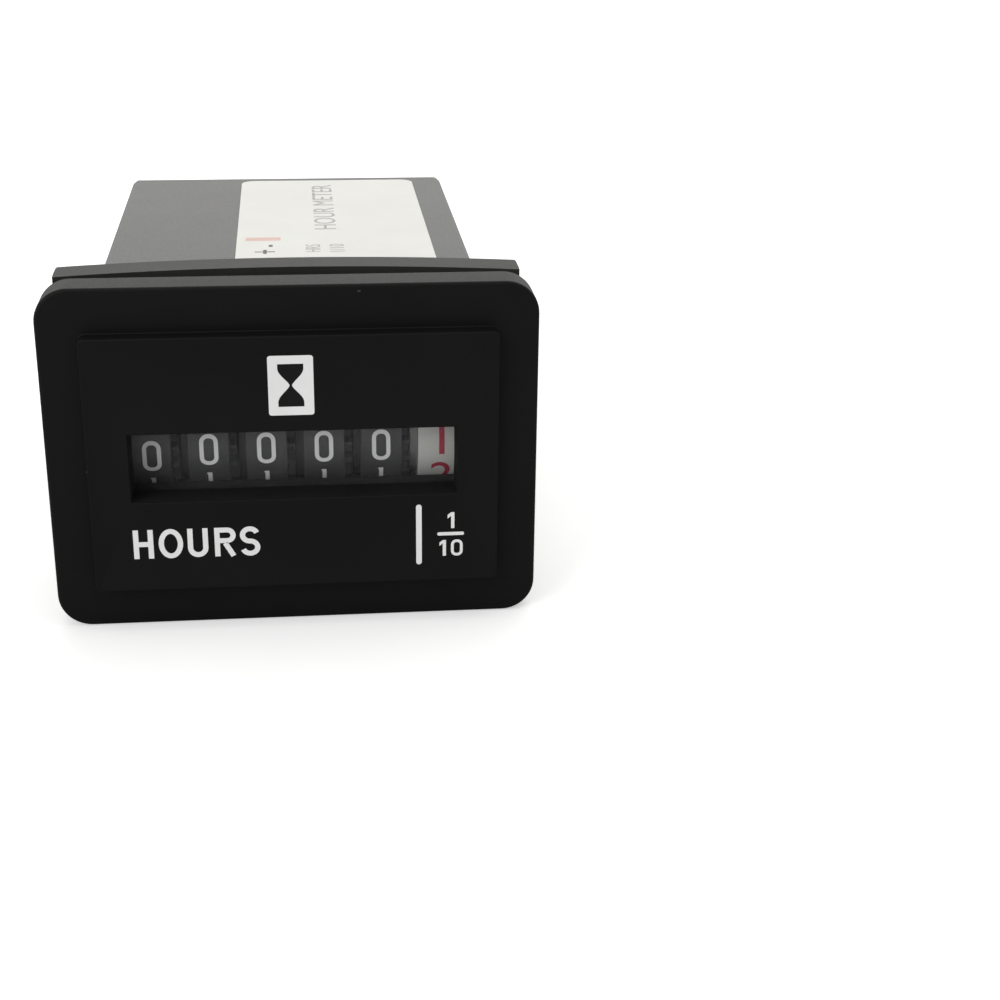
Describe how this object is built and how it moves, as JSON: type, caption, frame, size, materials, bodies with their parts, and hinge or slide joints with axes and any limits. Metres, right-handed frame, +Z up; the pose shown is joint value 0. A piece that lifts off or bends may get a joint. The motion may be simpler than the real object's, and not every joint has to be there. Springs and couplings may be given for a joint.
{
  "type": "panel hour meter",
  "caption": "Rectangular snap-in panel hour meter with a framed window over number wheels, a sliding bowed ratchet clip and flat blade terminals at the rear.",
  "frame": {"origin": "middle of the case on the panel's front face, where the gasket seats", "axes": "+X to the right seen from the front, +Y into the panel towards the terminals, +Z up"},
  "size_m": [0.0436, 0.0769, 0.0318],
  "materials": {
    "bezel_plastic": "fine satin grain",
    "case_plastic": "fine satin grain",
    "clear_lens": "clear, polished",
    "gasket_rubber": "matt",
    "label_film": "matt film",
    "tinned_brass": "dull tin plate",
    "clip_plastic": "satin",
    "frame_plastic": "matt",
    "plate_brass": "rolled",
    "steel": "ground",
    "white_plastic": "satin",
    "black_plastic": "satin",
    "core_steel": "rolled",
    "bobbin_plastic": "satin",
    "copper_wire": "enamelled wire",
    "board": "satin",
    "chip": "matt",
    "can_steel": "drawn",
    "sleeve": "gloss",
    "magnet": "ground",
    "pinion_plastic": "satin",
    "gear_plastic": "satin"
  },
  "bodies": {
    "housing": {"bezel": "bezel_plastic", "lens": "clear_lens", "gasket": "gasket_rubber", "case": "case_plastic", "rear_cover": "case_plastic", "label": "label_film", "terminal_left": "tinned_brass", "terminal_right": "tinned_brass", "counter_frame": "frame_plastic", "train_plate": "plate_brass", "wheel_shaft": "steel", "pinion_shaft": "steel", "gear_arbors": "steel", "stator": "core_steel", "coil_bobbin": "bobbin_plastic", "coil_winding": "copper_wire", "circuit_board": "board", "driver_chip": "chip", "crystal": "can_steel", "capacitor": "sleeve"},
    "clip": {"clip": "clip_plastic"},
    "wheel_tenths": {"wheel_tenths": "white_plastic"},
    "wheel_units": {"wheel_units": "black_plastic"},
    "wheel_tens": {"wheel_tens": "black_plastic"},
    "wheel_hundreds": {"wheel_hundreds": "black_plastic"},
    "wheel_thousands": {"wheel_thousands": "black_plastic"},
    "wheel_ten_thousands": {"wheel_ten_thousands": "black_plastic"},
    "carry_units": {"carry_units": "pinion_plastic"},
    "carry_tens": {"carry_tens": "pinion_plastic"},
    "carry_hundreds": {"carry_hundreds": "pinion_plastic"},
    "carry_thousands": {"carry_thousands": "pinion_plastic"},
    "carry_ten_thousands": {"carry_ten_thousands": "pinion_plastic"},
    "idler_gear": {"idler_gear": "gear_plastic"},
    "second_gear": {"second_gear": "gear_plastic"},
    "first_gear": {"first_gear": "gear_plastic"},
    "rotor": {"rotor": "magnet"}
  },
  "joints": [
    {"name": "clip_slide", "type": "slide", "parent": "housing", "child": "clip", "axis": [0, 1, 0], "range_m": [0, 0.06]},
    {"name": "wheel_tenths_spin", "type": "hinge", "parent": "housing", "child": "wheel_tenths", "pos_m": [0, 0.0041, -0.0001], "axis": [-1, 0, 0], "continuous": true},
    {"name": "wheel_units_spin", "type": "hinge", "parent": "housing", "child": "wheel_units", "pos_m": [0, 0.0041, -0.0001], "axis": [-1, 0, 0], "continuous": true},
    {"name": "wheel_tens_spin", "type": "hinge", "parent": "housing", "child": "wheel_tens", "pos_m": [0, 0.0041, -0.0001], "axis": [-1, 0, 0], "continuous": true},
    {"name": "wheel_hundreds_spin", "type": "hinge", "parent": "housing", "child": "wheel_hundreds", "pos_m": [0, 0.0041, -0.0001], "axis": [-1, 0, 0], "continuous": true},
    {"name": "wheel_thousands_spin", "type": "hinge", "parent": "housing", "child": "wheel_thousands", "pos_m": [0, 0.0041, -0.0001], "axis": [-1, 0, 0], "continuous": true},
    {"name": "wheel_ten_thousands_spin", "type": "hinge", "parent": "housing", "child": "wheel_ten_thousands", "pos_m": [0, 0.0041, -0.0001], "axis": [-1, 0, 0], "continuous": true},
    {"name": "carry_units_spin", "type": "hinge", "parent": "housing", "child": "carry_units", "pos_m": [0, 0.01138, -0.0001], "axis": [-1, 0, 0], "continuous": true},
    {"name": "carry_tens_spin", "type": "hinge", "parent": "housing", "child": "carry_tens", "pos_m": [0, 0.01138, -0.0001], "axis": [-1, 0, 0], "continuous": true},
    {"name": "carry_hundreds_spin", "type": "hinge", "parent": "housing", "child": "carry_hundreds", "pos_m": [0, 0.01138, -0.0001], "axis": [-1, 0, 0], "continuous": true},
    {"name": "carry_thousands_spin", "type": "hinge", "parent": "housing", "child": "carry_thousands", "pos_m": [0, 0.01138, -0.0001], "axis": [-1, 0, 0], "continuous": true},
    {"name": "carry_ten_thousands_spin", "type": "hinge", "parent": "housing", "child": "carry_ten_thousands", "pos_m": [0, 0.01138, -0.0001], "axis": [-1, 0, 0], "continuous": true},
    {"name": "idler_gear_spin", "type": "hinge", "parent": "housing", "child": "idler_gear", "pos_m": [0, 0.01098, -0.00492], "axis": [-1, 0, 0], "continuous": true},
    {"name": "second_gear_spin", "type": "hinge", "parent": "housing", "child": "second_gear", "pos_m": [0, 0.01689, -0.00388], "axis": [-1, 0, 0], "continuous": true},
    {"name": "first_gear_spin", "type": "hinge", "parent": "housing", "child": "first_gear", "pos_m": [0, 0.02233, -0.00134], "axis": [-1, 0, 0], "continuous": true},
    {"name": "rotor_spin", "type": "hinge", "parent": "housing", "child": "rotor", "pos_m": [0, 0.02953, -0.00134], "axis": [-1, 0, 0], "continuous": true}
  ],
  "couplings": [
    {"joint": "wheel_units_spin", "follows": "wheel_tenths_spin", "ratio": 0.1},
    {"joint": "wheel_tens_spin", "follows": "wheel_tenths_spin", "ratio": 0.01},
    {"joint": "wheel_hundreds_spin", "follows": "wheel_tenths_spin", "ratio": 0.001},
    {"joint": "wheel_thousands_spin", "follows": "wheel_tenths_spin", "ratio": 0.0001},
    {"joint": "wheel_ten_thousands_spin", "follows": "wheel_tenths_spin", "ratio": 0.00001},
    {"joint": "carry_units_spin", "follows": "wheel_tenths_spin", "ratio": -0.25},
    {"joint": "carry_tens_spin", "follows": "wheel_tenths_spin", "ratio": -0.025},
    {"joint": "carry_hundreds_spin", "follows": "wheel_tenths_spin", "ratio": -0.0025},
    {"joint": "carry_thousands_spin", "follows": "wheel_tenths_spin", "ratio": -0.00025},
    {"joint": "carry_ten_thousands_spin", "follows": "wheel_tenths_spin", "ratio": -0.000025},
    {"joint": "idler_gear_spin", "follows": "wheel_tenths_spin", "ratio": -1.3333},
    {"joint": "second_gear_spin", "follows": "wheel_tenths_spin", "ratio": 2},
    {"joint": "first_gear_spin", "follows": "wheel_tenths_spin", "ratio": -8},
    {"joint": "rotor_spin", "follows": "wheel_tenths_spin", "ratio": 40}
  ]
}
